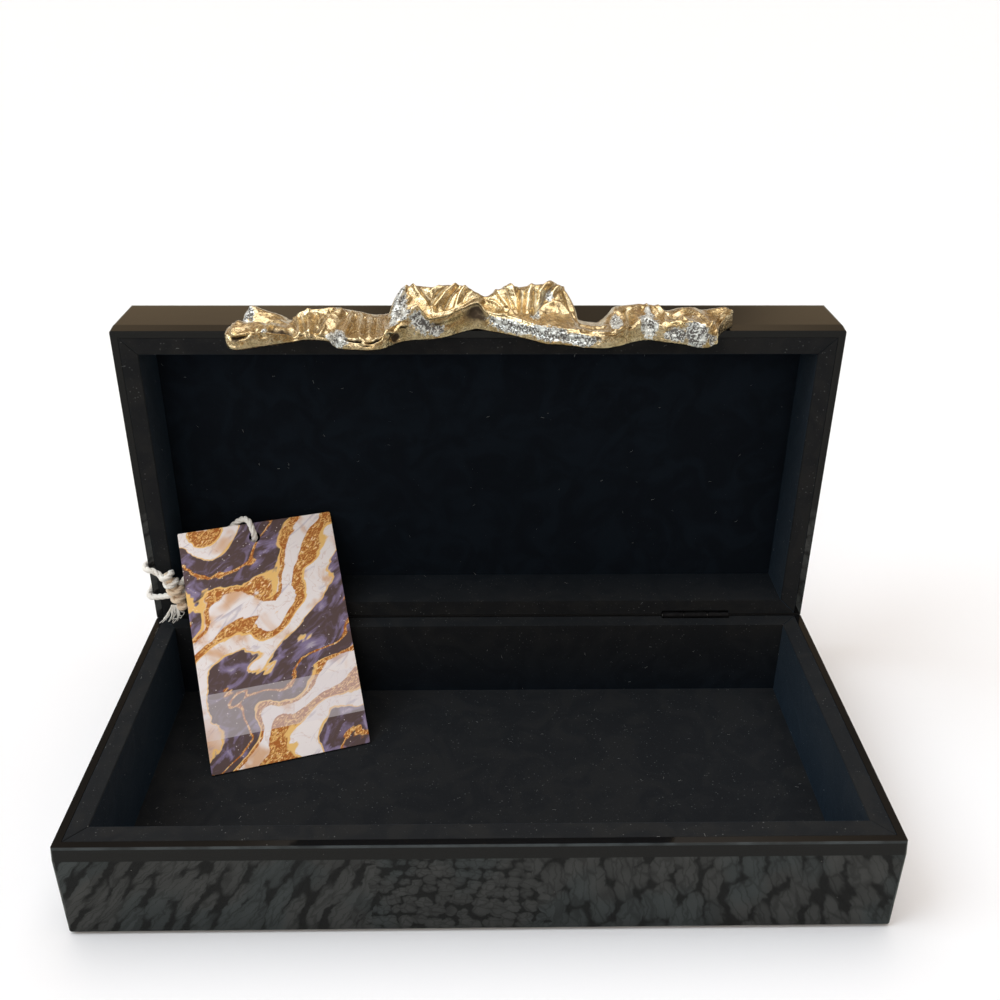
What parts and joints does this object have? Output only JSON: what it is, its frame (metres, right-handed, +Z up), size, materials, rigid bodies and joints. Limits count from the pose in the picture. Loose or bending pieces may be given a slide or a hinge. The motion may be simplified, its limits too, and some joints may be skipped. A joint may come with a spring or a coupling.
{
  "type": "lidded keepsake box",
  "caption": "Shallow rectangular lacquered box with a velvet lining, a hinged lid standing open, a sculpted cast handle and a hang tag on a string.",
  "frame": {"origin": "middle of the base's footprint, on the face it rests on", "axes": "+X to the right along the front, +Y from the front to the hinge side, +Z up; the lid stands open on its stop"},
  "size_m": [0.2577, 0.1497, 0.1688],
  "materials": {
    "lacquered_board": "black mirror lacquer",
    "plain_board": "black sealed board",
    "velvet": "blue-black velvet",
    "felt": "black felt",
    "gilt_casting": "polished, gold-coloured",
    "hinge_metal": "darkened",
    "steel": "zinc plated",
    "printed_card": "printed card",
    "cotton": "twisted white cotton"
  },
  "bodies": {
    "base": {"base_front_wall": "lacquered_board", "base_right_wall": "lacquered_board", "base_back_wall": "lacquered_board", "base_left_wall": "lacquered_board", "base_front_lining": "velvet", "base_right_lining": "velvet", "base_back_lining": "velvet", "base_left_lining": "velvet", "base_floor_board": "plain_board", "base_floor_lining": "velvet", "base_underside_felt": "felt", "left_hinge_base_leaf": "hinge_metal", "left_hinge_pin": "hinge_metal", "right_hinge_base_leaf": "hinge_metal", "right_hinge_pin": "hinge_metal", "hinge_base_screws": "hinge_metal", "hang_tag": "printed_card"},
    "lid": {"lid_front_wall": "lacquered_board", "lid_right_wall": "lacquered_board", "lid_back_wall": "lacquered_board", "lid_left_wall": "lacquered_board", "lid_front_lining": "velvet", "lid_right_lining": "velvet", "lid_back_lining": "velvet", "lid_left_lining": "velvet", "lid_top_board": "lacquered_board", "lid_panel_lining": "velvet", "left_hinge_lid_leaf": "hinge_metal", "right_hinge_lid_leaf": "hinge_metal", "hinge_lid_screws": "hinge_metal", "handle": "gilt_casting", "handle_screws": "steel", "tag_string": "cotton", "hinge_string": "cotton", "string_knot": "cotton"}
  },
  "joints": [
    {"name": "lid_hinge", "type": "hinge", "parent": "base", "child": "lid", "pos_m": [0, 0.058, 0.0362], "axis": [1, 0, 0], "range_deg": [0, 90], "deforming": ["hang_tag", "tag_string", "hinge_string", "string_knot"]}
  ]
}
